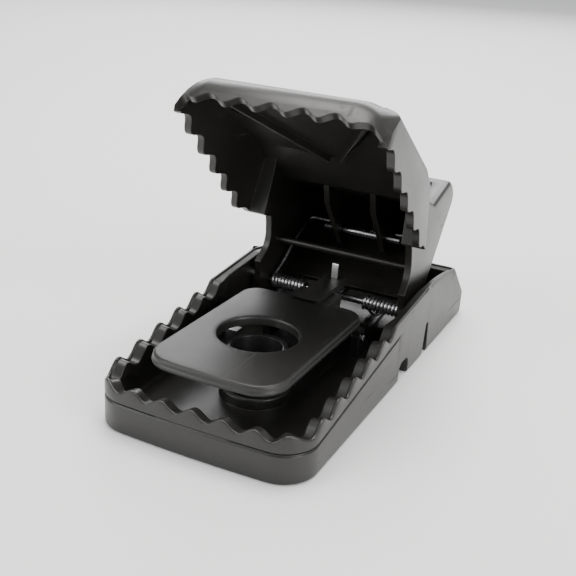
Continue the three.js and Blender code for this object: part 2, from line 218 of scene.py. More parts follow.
def moulded_plastic(name, colour, roughness, grain):
    """Injection-moulded black plastic: cloudy gloss, fine grain, hairlines and rubbed edges."""
    finish = Finish(name)
    cloud = finish.noise(scale=55.0, detail=4.0, roughness=0.55)
    fine = finish.noise(scale=2600.0, detail=2.0, roughness=0.6)
    ripple = finish.noise(scale=160.0, detail=2.0, roughness=0.5)
    hairlines = scratches(finish, (0.1, 0.0, 0.5)) + scratches(finish, (0.4, 0.0, 2.2)) * 0.7
    spots = finish.noise(scale=1500.0, detail=1.0, roughness=0.4)
    specks = finish.between(spots, low=0.735, high=0.78)
    pointed = Signal(finish, finish.node("NewGeometry").outputs["Pointiness"])
    rubbed = (finish.between(pointed, low=0.53, high=0.60)
              * finish.between(cloud, low=0.35, high=0.65))
    light = [min(1.0, c * 2.6 + 0.012) for c in colour] + [1]
    dark = [c * 0.72 for c in colour] + [1]
    base = finish.mix(cloud, dark, [c * 1.3 for c in colour] + [1])
    base = finish.mix(rubbed * 0.45, base, light)
    base = finish.mix(hairlines * 0.22 + specks * 0.5, base, light)
    finish.set(
        Base_Color=base,
        Roughness=(roughness - 0.06) + cloud * 0.13 + rubbed * 0.10 + hairlines * 0.14
        + specks * 0.25,
        Specular_IOR_Level=0.5,
    )
    height = fine * 0.30 + ripple - hairlines * 0.35
    finish.set(Normal=finish.bump(height, grain))
    return finish.material


def spring_steel(name, roughness, stretch):
    """Bright drawn steel with fine lines, light handling stains and small dark pits."""
    finish = Finish(name)
    drawn = finish.noise(scale=2400.0, detail=2.0, roughness=0.6, stretch=stretch)
    stained = finish.noise(scale=260.0, detail=4.0, roughness=0.6)
    stain = finish.between(stained, low=0.42, high=0.68)
    pitted = finish.noise(scale=1900.0, detail=2.0, roughness=0.5)
    pits = finish.between(pitted, low=0.66, high=0.74)
    bright, dull, dark = (0.70, 0.70, 0.71, 1), (0.50, 0.49, 0.47, 1), (0.20, 0.18, 0.16, 1)
    base = finish.mix(stain, bright, dull)
    base = finish.mix(pits * 0.5, base, dark)
    finish.set(
        Base_Color=base,
        Metallic=1.0,
        Roughness=roughness + stain * 0.10 + drawn * 0.10 + pits * 0.2,
    )
    finish.set(Normal=finish.bump(drawn * 0.6 - pits, 0.00002))
    return finish.material


# ---------- modelling helpers ----------


def ring_edges(bm, verts):
    return [bm.edges.new((a, b)) for a, b in zip(verts, verts[1:] + verts[:1])]


def swept(rings, first_cap=True, last_cap=True, close=False):
    """A wall drawn by extruding a closed ring of points to each next ring in turn."""
    bm = bmesh.new()
    verts = [bm.verts.new(point) for point in rings[0]]
    edges = ring_edges(bm, verts)
    start = edges
    if first_cap:
        bmesh.ops.contextual_create(bm, geom=edges)
    for ring in rings[1:]:
        made = bmesh.ops.extrude_edge_only(bm, edges=edges)["geom"]
        fresh = {v for v in made if isinstance(v, bmesh.types.BMVert)}
        verts = [
            next(e.other_vert(v) for e in v.link_edges if e.other_vert(v) in fresh)
            for v in verts
        ]
        for vert, point in zip(verts, ring):
            vert.co = point
        edges = [
            e for e in made
            if isinstance(e, bmesh.types.BMEdge) and e.verts[0] in fresh and e.verts[1] in fresh
        ]
    if close:
        bmesh.ops.bridge_loops(bm, edges=start + edges)
    elif last_cap:
        bmesh.ops.contextual_create(bm, geom=edges)
    bmesh.ops.recalc_face_normals(bm, faces=bm.faces)
    return bm


def prism(points, axis, low, high):
    """A flat outline carried along an axis. Points are the other two axes in X, Y, Z order."""
    bm = bmesh.new()
    places = {
        "X": lambda u, v: (low, u, v),
        "Y": lambda u, v: (u, low, v),
        "Z": lambda u, v: (u, v, low),
    }
    verts = [bm.verts.new(places[axis](*point)) for point in points]
    face = bmesh.ops.contextual_create(bm, geom=ring_edges(bm, verts))["faces"]
    made = bmesh.ops.extrude_face_region(bm, geom=face)["geom"]
    step = Vector([high - low if a == axis else 0 for a in "XYZ"])
    moved = [v for v in made if isinstance(v, bmesh.types.BMVert)]
    bmesh.ops.translate(bm, vec=step, verts=moved)
    bmesh.ops.recalc_face_normals(bm, faces=bm.faces)
    return bm


def block(x0, x1, y0, y1, z0, z1):
    bm = bmesh.new()
    bmesh.ops.create_cube(bm, size=1)
    bmesh.ops.scale(bm, vec=(x1 - x0, y1 - y0, z1 - z0), verts=bm.verts)
    bmesh.ops.translate(
        bm, vec=((x0 + x1) / 2, (y0 + y1) / 2, (z0 + z1) / 2), verts=bm.verts)
    return bm


def rod(radius, x0, x1, y, z, sides=48, chamfer=0.0):
    """A round bar along X with rounded ends."""
    bm = bmesh.new()
    bmesh.ops.create_cone(
        bm, cap_ends=True, segments=sides, radius1=radius, radius2=radius, depth=x1 - x0)
    bmesh.ops.rotate(bm, matrix=Matrix.Rotation(math.pi / 2, 3, "Y"), verts=bm.verts)
    bmesh.ops.translate(bm, vec=((x0 + x1) / 2, y, z), verts=bm.verts)
    if chamfer:
        rims = [e for e in bm.edges if e.calc_face_angle(0) > SHARP_ANGLE]
        rounded(bm, rims, chamfer, 3)
    return bm


def turned(profile, y, z, steps=72):
    """A closed round section of (radius, height) points spun about a vertical line."""
    bm = bmesh.new()
    verts = [bm.verts.new((r, 0, h)) for r, h in profile]
    edges = ring_edges(bm, verts)
    bmesh.ops.spin(bm, geom=verts + edges, cent=(0, 0, 0), axis=(0, 0, 1),
                   angle=2 * math.pi, steps=steps, use_merge=True)
    bmesh.ops.remove_doubles(bm, verts=bm.verts, dist=SAME_PLACE)
    bmesh.ops.recalc_face_normals(bm, faces=bm.faces)
    bmesh.ops.translate(bm, vec=(0, y, z), verts=bm.verts)
    return bm


def rounded(bm, edges, width, segments):
    """Rounds the edges, each starting this far from its corner line."""
    bmesh.ops.bevel(bm, geom=edges, offset=width, offset_type="OFFSET", affect="EDGES",
                    segments=segments, profile=0.5, material=-1, clamp_overlap=True)


def cut_off(bm, point, normal):
    """Cuts everything off beyond a plane and closes the cut."""
    if max((v.co - point).dot(normal) for v in bm.verts) < SMALLEST_CUT:
        return
    whole = list(bm.verts) + list(bm.edges) + list(bm.faces)
    cut = bmesh.ops.bisect_plane(bm, geom=whole, dist=ON_PLANE, plane_co=point,
                                 plane_no=normal, clear_outer=True)["geom_cut"]
    edges = [e for e in cut if isinstance(e, bmesh.types.BMEdge)]
    if edges:
        bmesh.ops.contextual_create(bm, geom=edges)


def mirrored(bm):
    """Adds the mirror image of everything across the trap's middle plane."""
    whole = list(bm.verts) + list(bm.edges) + list(bm.faces)
    made = bmesh.ops.duplicate(bm, geom=whole)["geom"]
    verts = [v for v in made if isinstance(v, bmesh.types.BMVert)]
    faces = [f for f in made if isinstance(f, bmesh.types.BMFace)]
    bmesh.ops.scale(bm, vec=(-1, 1, 1), verts=verts)
    bmesh.ops.reverse_faces(bm, faces=faces)
    return bm


def mesh_of(bm, name="shape"):
    mesh = bpy.data.meshes.new(name)
    bm.to_mesh(mesh)
    bm.free()
    return mesh


def combined(start, steps):
    """Adds (UNION), cuts (DIFFERENCE) or trims to (INTERSECT) one bmesh after another."""
    scene = bpy.context.scene.collection
    body = bpy.data.objects.new("body", mesh_of(start))
    scene.objects.link(body)
    tools = [body]
    for operation, tool in steps:
        cutter = bpy.data.objects.new("tool", mesh_of(tool))
        scene.objects.link(cutter)
        tools.append(cutter)
        modifier = body.modifiers.new(operation, "BOOLEAN")
        modifier.operation = operation
        modifier.solver = "EXACT"
        modifier.object = cutter
    graph = bpy.context.evaluated_depsgraph_get()
    result = bmesh.new()
    result.from_mesh(body.evaluated_get(graph).to_mesh())
    for tool in tools:
        mesh = tool.data
        bpy.data.objects.remove(tool)
        bpy.data.meshes.remove(mesh)
    bmesh.ops.remove_doubles(result, verts=result.verts, dist=SAME_PLACE)
    bmesh.ops.dissolve_degenerate(result, edges=result.edges, dist=SAME_PLACE)
    return result


def piece(name, bm, place, body, material, edge=0.0):
    """Makes the finished object: placed mesh, edges softened by a width, material and body."""
    bm.transform(place)
    mesh = mesh_of(bm, name)
    mesh.polygons.foreach_set("use_smooth", [True] * len(mesh.polygons))
    mesh.set_sharp_from_angle(angle=SHARP_ANGLE)
    mesh.materials.append(material)
    made = bpy.data.objects.new(name, mesh)
    bpy.context.scene.collection.objects.link(made)
    if edge:
        bevel = made.modifiers.new("soft_edges", "BEVEL")
        bevel.width = edge / 1000
        bevel.segments = 2
        bevel.limit_method = "ANGLE"
        bevel.angle_limit = SHARP_ANGLE
        bevel.use_clamp_overlap = False
        bevel.harden_normals = True
        bevel.miter_outer = "MITER_ARC"
    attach(made, body)
    return made


def smoothstep(low, high, value):
    t = min(1.0, max(0.0, (value - low) / (high - low)))
    return t * t * (3 - 2 * t)


# ---------- outlines ----------


def arc(cx, cy, radius, start, end, count):
    """Points round a corner, without the last one."""
    angles = [start + (end - start) * i / count for i in range(count)]
    return [(cx + radius * math.cos(a), cy + radius * math.sin(a)) for a in angles]


def line(start, end, count, bow=0.0):
    """Points along a side, without the last one; bow moves its middle out towards -y."""
    points = []
    for i in range(count):
        t = i / count
        x = start[0] + (end[0] - start[0]) * t
        y = start[1] + (end[1] - start[1]) * t - 4 * bow * t * (1 - t)
        points.append((x, y))
    return points


def footprint(inset, half_width, y0, y1, front, rear, counts, bow):
    """Rounded outline in plan, anticlockwise from the left end of the front edge. The counts
    are points along the front, a front corner, a side, a rear corner and the rear."""
    w = half_width - inset
    a, b = y0 + inset, y1 - inset
    f, r = front - inset, max(rear - inset, SMALLEST_RADIUS)
    across, corner, side, tail_corner, tail = counts
    return (
        line((-w + f, a), (w - f, a), across, bow)
        + arc(w - f, a + f, f, -math.pi / 2, 0, corner)
        + line((w, a + f), (w, b - r), side)
        + arc(w - r, b - r, r, 0, math.pi / 2, tail_corner)
        + line((w - r, b), (-w + r, b), tail)
        + arc(-w + r, b - r, r, math.pi / 2, math.pi, tail_corner)
        + line((-w, b - r), (-w, a + f), side)
        + arc(-w + f, a + f, f, math.pi, 1.5 * math.pi, corner)
    )


def tray_outline(inset):
    return footprint(inset, HALF_WIDTH, 0, LENGTH, FRONT_RADIUS, REAR_RADIUS,
                     (64, 12, 168, 5, 24), FRONT_BOW)


def side_seam(y):
    """Height of the toothed seam along a side."""
    grown = min(1.0, 2 * (y - TOOTH_START) / TOOTH)
    height = FRONT_TOOTH_HEIGHT + (SIDE_TOOTH_HEIGHT - FRONT_TOOTH_HEIGHT) * grown
    return (SEAM_FRONT + SEAM_SLOPE * y
            - height * math.cos(2 * math.pi * (y - TOOTH_START) / TOOTH))


def front_seam(x):
    """Height of the toothed seam across the front."""
    return (SEAM_FRONT + SEAM_SLOPE * TOOTH_START
            + FRONT_TOOTH_HEIGHT * math.cos(2 * math.pi * x / FRONT_TOOTH))


def tray_rim(x, y):
    """Height of the tray's rim over a point of its outline."""
    if y < TOOTH_START:
        return front_seam(x)
    if y < TOOTH_END:
        return side_seam(y)
    if y < HINGE_Y:
        start = side_seam(TOOTH_END)
        return start + (RIM_AT_HINGE - start) * (y - TOOTH_END) / (HINGE_Y - TOOTH_END)
    t = min(1.0, (y - HINGE_Y) / (LENGTH - HINGE_Y))
    return RIM_AT_HINGE + (RIM_AT_TAIL - RIM_AT_HINGE) * t ** RIM_FALL


def seam_samples():
    count = int((TOOTH_END - TOOTH_START) * SEAM_STEPS_PER_MM)
    return [TOOTH_START + (TOOTH_END - TOOTH_START) * i / count for i in range(count + 1)]


# ---------- tray ----------


GROOVE_DROP = 3.4
GROOVE_DEPTH = 0.32
TEETH_FADE = 50
PLAIN_RIM = 2.5
TOOTHED_RIM = 3.1


def crease_height(y):
    """Height of the crease above which the tail's walls lean in."""
    t = (y - HINGE_Y) / (LENGTH - HINGE_Y)
    return RIM_AT_HINGE + (CREASE_AT_TAIL - RIM_AT_HINGE) * t


def tray_walls():
    """The tray's floor and walls, one ring of points after another from the underside up the
    outside, over the toothed rim and down the inside to the floor."""
    outline = tray_outline(0)
    rims = [tray_rim(x, y) for x, y in outline]
    toothed = [1 - smoothstep(TEETH_FADE, TEETH_FADE + 5, y) for x, y in outline]
    means = [SEAM_FRONT + SEAM_SLOPE * max(y, TOOTH_START) for x, y in outline]

    def low(i):
        """Height of the groove under the teeth, which runs out into the tail's crease."""
        y = outline[i][1]
        under_teeth = means[i] - GROOVE_DROP
        if y < TEETH_FADE:
            return under_teeth
        tail = crease_height(max(y, HINGE_Y)) - (1.2 if y < HINGE_Y else 0.05)
        return under_teeth + (tail - under_teeth) * smoothstep(TEETH_FADE, HINGE_Y + 2, y)

    def ring(inset, height):
        points = []
        for i, (x, y) in enumerate(tray_outline(inset)):
            z = height(i) if callable(height) else height
            outer_y = outline[i][1]
            if outer_y > HINGE_Y:
                over = max(0.0, z - crease_height(min(outer_y, LENGTH)))
                narrow = TAIL_NARROWING / (RIM_AT_TAIL - CREASE_AT_TAIL) * over
                x = math.copysign(max(0.0, abs(x) - narrow * min(1.0, abs(x) / 15)), x)
            points.append((x, y, z))
        return points

    def between_rings(first, second, shares):
        return [tuple(p + (q - p) * share for p, q in zip(a, b))
                for a, b, share in zip(first, second, shares)]

    def grooved(height_shift, deep):
        """A ring near the groove's middle, sunk by its depth where deep is 1."""
        inset = 0.4
        shares = [GROOVE_DEPTH * t / inset * deep for t in toothed]
        return between_rings(ring(0, lambda i: low(i) + height_shift),
                             ring(inset, lambda i: low(i) + height_shift), shares)

    def inner(extra, drop):
        """A ring on the rim's inner side, further in where there are teeth."""
        shares = [t + extra / (TOOTHED_RIM - PLAIN_RIM) for t in toothed]
        return between_rings(ring(PLAIN_RIM, lambda i: rims[i] - drop),
                             ring(TOOTHED_RIM, lambda i: rims[i] - drop), shares)

    rings = [
        ring(0.9, 0.0),
        ring(0.35, 0.05),
        ring(0.1, 0.25),
        ring(0.0, 0.7),
        grooved(-0.45, 0),
        grooved(-0.15, 1),
        grooved(0.15, 1),
        grooved(0.45, 0),
        ring(0.0, lambda i: low(i) + 0.9),
        ring(0.0, lambda i: rims[i] - 0.35),
        ring(0.08, lambda i: rims[i] - 0.1),
        ring(0.28, lambda i: rims[i]),
        ring(0.62, lambda i: rims[i]),
        ring(0.78, lambda i: rims[i] - 0.12),
        ring(0.86, lambda i: rims[i] - 0.42),
        ring(1.05, lambda i: rims[i] - 0.5),
        inner(-0.35, 0.62),
        inner(-0.08, 0.78),
        inner(0.0, 1.1),
        inner(0.0, 3.4),
        ring(2.3, lambda i: rims[i] - 4.4),
        ring(WALL, lambda i: 4.0),
        ring(WALL + 0.2, 2.6),
        ring(WALL + 0.7, 2.1),
        ring(WALL + 1.4, FLOOR_TOP),
    ]
    return swept(rings)


def tray_cuts():
    """Notches for a tie, snap slots, seats for the hinge rod and the treadle rod's bore."""
    notch = prism([(54, -1), (60.4, -1), (60.4, 2.6), (60.1, 3.8), (59.3, 4.5), (58.2, 4.7),
                   (56.2, 4.7), (55, 4.4), (54.2, 3.6), (54, 2.6)], "X", 19.5, 27)
    slot = prism([(71.2, -1), (74.6, -1), (73.9, 8.1), (73.6, 8.5), (72.6, 8.5), (72.3, 8.1)],
                 "X", 22, 27)
    seat = rod(HINGE_BORE_RADIUS, 22, 24.4, HINGE_Y, HINGE_Z)
    bore = rod(TREADLE_BORE_RADIUS, -14, 14, PIVOT_Y, PIVOT_Z, 32)
    return [mirrored(notch), mirrored(slot), mirrored(seat), bore]


def tray_fittings():
    """Cup socket, treadle lugs and moulded details that stand on the tray's floor."""
    socket = turned([(6.7, -0.6), (8.2, -0.6), (8.2, 2.2), (8.0, 2.5), (7.75, 2.6), (7.1, 2.6),
                     (6.8, 2.45), (6.7, 2.2)], BAIT_Y, FLOOR_TOP)
    lug = prism([(56.2, 1), (60.8, 1), (60.8, 7.4), (60.4, 8.5), (59.6, 9.3), (57.4, 9.3),
                 (56.6, 8.5), (56.2, 7.4)], "X", 11.2, 13.2)
    web = prism([(60.6, 1), (66.0, 1), (60.6, 5.6)], "X", 11.9, 12.6)
    rail = block(6.2, 7.2, 78, 102, 1.5, 2.9)
    heel = prism([(84, 1), (103.6, 1), (103.6, 7.0), (101.5, 3.2), (84, 2.0)], "X", 13.2, 14.2)
    return [socket, mirrored(lug), mirrored(web), mirrored(rail), mirrored(heel)]


def make_tray():
    steps = [("UNION", tool) for tool in tray_fittings()]
    steps += [("DIFFERENCE", tool) for tool in tray_cuts()]
    return combined(tray_walls(), steps)


# ---------- jaw, drawn closed ----------

NOSE = (0.0, 18.2)
NOSE_RADIUS = 9.0
EDGE_RADIUS = 2.0
JAW_LEAN = 0.14
JAW_WALL = 1.8
RIDGE = (36.5, 31.0)
PEDAL_HALF_WIDTH = 20.3
PEDAL_LEAN = 0.064
WIDE_REAR = 54
WIDE_CHAIN = [NOSE, RIDGE, (43.5, 31.0), (WIDE_REAR, 17)]
PEDAL_CHAIN = [(48.5, 31.0), (62, 39), (68.6, 51.6), (70.6, 53.4), (73, 54), (75.6, 53.8),
               (76.7, 52.4), (77.3, 50.6)]


def jaw_side():
    """Normal and distance of the plane of the jaw's right side wall."""
    normal = Vector((1, -JAW_LEAN * SEAM_SLOPE, JAW_LEAN)).normalized()
    return normal, normal.dot(Vector((HALF_WIDTH, 0, SEAM_FRONT)))


def top_planes():
    """Normals and distances of the planes along the top of the jaw's front part."""
    planes = []
    for (y0, z0), (y1, z1) in zip(WIDE_CHAIN, WIDE_CHAIN[1:]):
        normal = Vector((0, z0 - z1, y1 - y0)).normalized()
        planes.append((normal, normal.dot(Vector((0, y0, z0)))))
    return planes


def rounding_planes():
    """Facets that round the jaw's upper side edges, its nose and its two front corners. The
    corner facets that lean far back are left out, since they would cut the long side edges."""
    side, side_distance = jaw_side()
    planes = []
    parts = 6
    for top, top_distance in top_planes():
        turn = side.angle(top)
        for i in range(1, parts):
            a = math.sin(turn * (1 - i / parts)) / math.sin(turn)
            b = math.sin(turn * i / parts) / math.sin(turn)
            distance = a * (side_distance - EDGE_RADIUS) + b * (top_distance - EDGE_RADIUS)
            planes.append((side * a + top * b, distance + EDGE_RADIUS))
    corner = Vector((15.9, NOSE_RADIUS, 11.8))
    rearward = Vector((0, RIDGE[0] - NOSE[0], RIDGE[1] - NOSE[1])).normalized()
    least_forward = 0.35
    for i in range(7):
        turn = math.radians(-90 + 13 * i)
        for j in range(1, 7):
            rise = math.radians(10 * j)
            normal = Vector((math.cos(turn) * math.cos(rise), math.sin(turn) * math.cos(rise),
                             math.sin(rise)))
            if i == 0 or normal.dot(rearward) < -least_forward:
                planes.append((normal, normal.dot(corner) + NOSE_RADIUS))
    return planes


def wide_body(inset, soften=0.0):
    """Convex front part of the jaw, cut from a box by the planes of its faces."""
    w = HALF_WIDTH - inset
    bm = block(-w, w, inset, 60, -20, 40)
    front = [e for e in bm.edges
             if all(abs(v.co.y - inset) < SAME_PLACE for v in e.verts)
             and abs(e.verts[0].co.z - e.verts[1].co.z) > 1]
    rounded(bm, front, FRONT_RADIUS - inset, 12)
    for normal, distance in top_planes() + [jaw_side()] + rounding_planes():
        for turn in (1, -1):
            facing = Vector((normal.x * turn, normal.y, normal.z))
            cut_off(bm, facing * (distance - inset), facing)
    cut_off(bm, Vector((0, WIDE_REAR - inset, 0)), Vector((0, 1, 0)))
    if soften:
        least_turn, above_seam = 0.3, 16
        edges = [e for e in bm.edges
                 if e.calc_face_angle(0) > least_turn and min(v.co.z for v in e.verts) > -10
                 and max(v.co.z for v in e.verts) > above_seam]
        rounded(bm, edges, soften, 3)
    bmesh.ops.remove_doubles(bm, verts=bm.verts, dist=SMALLEST_CUT)
    bmesh.ops.dissolve_degenerate(bm, edges=bm.edges, dist=SMALLEST_CUT / 2)
    bmesh.ops.recalc_face_normals(bm, faces=bm.faces)
    return bm


def inset_chain(points, d):
    """An open chain of (y, z) points moved to its right by d."""
    edges = []
    for (y0, z0), (y1, z1) in zip(points, points[1:]):
        size = math.hypot(y1 - y0, z1 - z0)
        shift = Vector(((z1 - z0) / size, -(y1 - y0) / size)) * d
        edges.append((Vector((y0, z0)) + shift, Vector((y1, z1)) + shift))
    corners = []
    for (a0, a1), (b0, b1) in zip(edges, edges[1:]):
        u, v = a1 - a0, b1 - b0
        t = ((b0.x - a0.x) * v.y - (b0.y - a0.y) * v.x) / (u.x * v.y - u.y * v.x)
        corners.append(tuple(a0 + u * t))
    return [tuple(edges[0][0])] + corners + [tuple(edges[-1][1])]


def pedal_body(inset, soften=0.0):
    """Narrow rear part: level step, sloping panel, steep thumb face and rounded top."""
    chain = [(30, -20), (30, 28), RIDGE] + PEDAL_CHAIN + [(PEDAL_CHAIN[-1][0], -20)]
    bm = prism(inset_chain(chain, inset), "X", -30, 30)
    for side in (-1, 1):
        normal = Vector((side, 0, PEDAL_LEAN)).normalized()
        point = Vector((side * PEDAL_HALF_WIDTH, 0, RIM_AT_HINGE))
        cut_off(bm, point - normal * inset, normal)
    if soften:
        least_turn = 0.17
        edges = []
        for e in bm.edges:
            ends = [v.co for v in e.verts]
            across = abs(ends[0].x - ends[1].x) > 5
            under = min(v.z for v in ends) < -10 and max(v.z for v in ends) < 0
            if not across and not under and e.calc_face_angle(0) > least_turn:
                edges.append(e)
        rounded(bm, edges, soften, 4)
    bmesh.ops.recalc_face_normals(bm, faces=bm.faces)
    return bm


def below_jaw():
    """Cutters that leave the toothed edge and the ears round the hinge."""
    ear = []
    steps = 16
    for i in range(steps + 1):
        a = math.pi * (1.15 + 0.7 * i / steps)
        ear.append((HINGE_Y + 6.6 * math.cos(a), HINGE_Z + 6 * math.sin(a)))
    side = [(TOOTH_START, -30)]
    side += [(y, side_seam(y) + SEAM_GAP) for y in seam_samples()]
    side += [(51.5, 18.0), (53.2, 18.9), (54.4, 20), (56.0, 19.4), (57.5, 18.6), (59.2, 17.6),
             (60.4, 16.4), (61.2, 15.1), (61.6, 13.6), (61.6, 10)]
    side += ear + [(78.3, 10), (78.3, -30)]
    count = 112
    xs = [-30 + 60 * i / count for i in range(count + 1)]
    front = [(-30, -30)] + [(x, front_seam(x) + SEAM_GAP) for x in xs] + [(30, -30)]
    return [prism(side, "X", -30, 30), prism(front, "Y", -3, TOOTH_START)]


def tilted_block(size, place, slope, soften):
    """A block whose top leans back by slope, with softened edges."""
    bm = block(-size[0] / 2, size[0] / 2, -size[1] / 2, size[1] / 2, -size[2] / 2, size[2] / 2)
    rounded(bm, list(bm.edges), soften, 3)
    bmesh.ops.rotate(bm, matrix=Matrix.Rotation(slope, 3, "X"), verts=bm.verts)
    bmesh.ops.translate(bm, vec=place, verts=bm.verts)
    return bm


def rounded_panel(half_x, half_y, depth, corner, place, slope):
    """A flat cutter with rounded corners that sinks a panel by depth."""
    x, y, right = half_x - corner, half_y - corner, math.pi / 2
    points = (
        arc(x, -y, corner, -right, 0, 6)
        + arc(x, y, corner, 0, right, 6)
        + arc(-x, y, corner, right, math.pi, 6)
        + arc(-x, -y, corner, math.pi, 3 * right, 6)
    )
    bm = prism(points, "Z", -depth, 2)
    bmesh.ops.rotate(bm, matrix=Matrix.Rotation(slope, 3, "X"), verts=bm.verts)
    bmesh.ops.translate(bm, vec=place, verts=bm.verts)
    return bm


def long_panel():
    """Slope, length and middle (y, z) of the long sloping panel."""
    rise, run = RIDGE[1] - NOSE[1], RIDGE[0] - NOSE[0]
    return (math.atan2(rise, run), math.hypot(rise, run),
            ((RIDGE[0] + NOSE[0]) / 2, (RIDGE[1] + NOSE[1]) / 2))


def panel_step():
    """The long panel is sunk a little inside a border, as a second line along its edges."""
    slope, length, middle = long_panel()
    border = 2.2
    return rounded_panel(20.6, length / 2 - border, depth=0.22, corner=4.0,
                         place=(0, *middle), slope=slope)


def panel_recess():
    """The shallow rectangular recess in the middle of the long panel."""
    slope, _, middle = long_panel()
    return rounded_panel(16.5, 12, depth=0.45, corner=1.4, place=(0, *middle), slope=slope)


def grip_ribs():
    """Three ribs across the pedal's steep thumb face."""
    (y0, z0), (y1, z1) = PEDAL_CHAIN[1:3]
    slope = math.atan2(z1 - z0, y1 - y0)
    return [tilted_block((28, 1.7, 1.3), (0, y0 + (y1 - y0) * t, z0 + (z1 - z0) * t), slope, 0.45)
            for t in (0.3, 0.53, 0.76)]


def stiffening_ribs(inset):
    """Two ribs that meet in a V under the long panel, trimmed to a band under it."""
    rib_turn, rib_drop = 0.52, 3.4
    rib = block(-0.5, 0.5, -18, 18, -20, 60)
    bmesh.ops.rotate(rib, matrix=Matrix.Rotation(rib_turn, 3, "Z"), verts=rib.verts)
    bmesh.ops.translate(rib, vec=(10.6, 21.5, 0), verts=rib.verts)
    mirrored(rib)
    lower = wide_body(inset)
    bmesh.ops.translate(lower, vec=(0, 0, -rib_drop), verts=lower.verts)
    return combined(rib, [("INTERSECT", wide_body(inset)), ("DIFFERENCE", lower)])


def bar_gussets(inset):
    """Two plates inside the pedal that carry the spring bar."""
    plate = prism([(50, 31), (56, 28.4), (74, 28.4), (74, 50), (69, 50)], "X", 5.6, 7.2)
    return combined(mirrored(plate), [("INTERSECT", pedal_body(inset))])


def make_jaw():
    into_wall = 0.6
    shell = combined(wide_body(0, 1.1), [("UNION", pedal_body(0, 1.3))])
    hollow = combined(wide_body(JAW_WALL), [("UNION", pedal_body(JAW_WALL))])
    lip = block(-17, 17, 76.3, 86.2, 24, 28.4)
    corners = [e for e in lip.edges
               if all(v.co.y > 86 for v in e.verts) or all(v.co.z > 28 for v in e.verts)]
    rounded(lip, corners, 0.9, 3)
    opening = block(-18.5, 18.5, 73.5, 79, -5, 17)
    catch_bar = rod(0.9, -19.5, 19.5, HINGE_Y - 7.6, HINGE_Z + 8.3, 32)
    hang_hole = [block(-3.4, 3.4, 70.4, 72.6, 51, 56), block(-1.1, 1.1, 68.4, 71, 51, 56)]
    bores = [rod(HINGE_BORE_RADIUS, -24, 24, HINGE_Y, HINGE_Z),
             rod(BAR_BORE_RADIUS, -8, 8, BAR_Y, BAR_Z)]
    steps = [("DIFFERENCE", hollow), ("UNION", stiffening_ribs(into_wall)),
             ("UNION", bar_gussets(into_wall))]
    steps += [("DIFFERENCE", tool) for tool in below_jaw()]
    steps += [("DIFFERENCE", opening), ("UNION", lip), ("UNION", catch_bar)]
    steps += [("UNION", tool) for tool in grip_ribs()]
    steps += [("DIFFERENCE", tool)
              for tool in [panel_step(), panel_recess()] + hang_hole + bores]
    return combined(shell, steps)


# ---------- treadle, drawn level with its pivot at the origin ----------


PLATE_HALF_WIDTH = 15.8
PLATE_FRONT, PLATE_REAR = -53.9, -5.3
PLATE_TOP = 9.3


def treadle_plate():
    """Skirted plate with a round hole and a collar, as one ring of points after another."""
    counts = (30, 8, 40, 8, 30)
    hole_y = BAIT_Y - PIVOT_Y

    def ring(inset, z):
        return [(x, y, z) for x, y in
                footprint(inset, PLATE_HALF_WIDTH, PLATE_FRONT, PLATE_REAR, 7, 5, counts, 0.3)]

    base = ring(4, 0)

    def hole(radius, z):
        points = []
        for x, y, _ in base:
            a = math.atan2(y - hole_y, x)
            points.append((radius * math.cos(a), hole_y + radius * math.sin(a), z))
        return points

    rings = [
        ring(0.2, 7.1), ring(0.05, 7.2), ring(0.0, 7.4), ring(0.0, 7.75), ring(0.06, 7.9),
        ring(0.2, 8.0), ring(0.26, 8.15), ring(0.26, 8.6), ring(0.33, 8.9), ring(0.5, 9.12),
        ring(0.75, 9.26), ring(1.05, PLATE_TOP), ring(3.0, PLATE_TOP),
        hole(10.6, PLATE_TOP), hole(9.7, PLATE_TOP), hole(9.42, 9.22), hole(9.25, 9.0),
        hole(9.2, 8.7), hole(9.2, 7.3), hole(9.4, 7.1), hole(10.2, 7.1), hole(10.4, 7.3),
        hole(10.4, 7.7), hole(10.8, 7.9),
        ring(2.2, 7.9), ring(1.5, 7.8), ring(1.2, 7.6), ring(1.2, 7.2),
    ]
    return swept(rings, first_cap=False, last_cap=False, close=True)


def treadle_hub():
    """Tongue over the hinge pin, stem and hub at the rear of the treadle."""
    tongue = block(-3, 3, -8, 13.6, 7.5, PLATE_TOP)
    edges = []
    for e in tongue.edges:
        ends = [v.co for v in e.verts]
        on_top = all(v.z > 9 for v in ends) and min(v.y for v in ends) > -7.9
        upright = abs(ends[0].z - ends[1].z) > 1 and ends[0].y > 0
        if on_top or upright:
            edges.append(e)
    rounded(tongue, edges, 0.7, 4)
    stem = prism([(-2, 0), (2, 0), (3.4, 8.3), (-5.5, 8.3)], "X", -5.5, 5.5)
    hub = rod(2.2, -10.6, 10.6, 0, 0, 48, 0.35)
    notch = mirrored(block(5, 6.6, -5.6, -4.9, 5, 12))
    catch_slot = block(-1.2, 1.2, 10.5, 12.1, 5, 12)
    bore = rod(TREADLE_BORE_RADIUS, -12, 12, 0, 0, 32)
    return combined(tongue, [("UNION", stem), ("UNION", hub), ("DIFFERENCE", notch),
                             ("DIFFERENCE", catch_slot), ("DIFFERENCE", bore)])


def stacked(*shapes):
    """Several bmeshes as one, without joining their surfaces."""
    result = bmesh.new()
    for shape in shapes:
        mesh = mesh_of(shape)
        result.from_mesh(mesh)
        bpy.data.meshes.remove(mesh)
    return result


def make_catch():
    """A straight strip with a rounded tip that stands in the tongue's slot."""
    outline = [(10.8, 7.4), (11.8, 7.4), (11.8, 12.9), (11.7, 13.2), (11.5, 13.35), (11.3, 13.4),
               (11.1, 13.35), (10.9, 13.2), (10.8, 12.9)]
    return prism(outline, "X", -0.9, 0.9)


# ---------- bait cup, pins and springs ----------


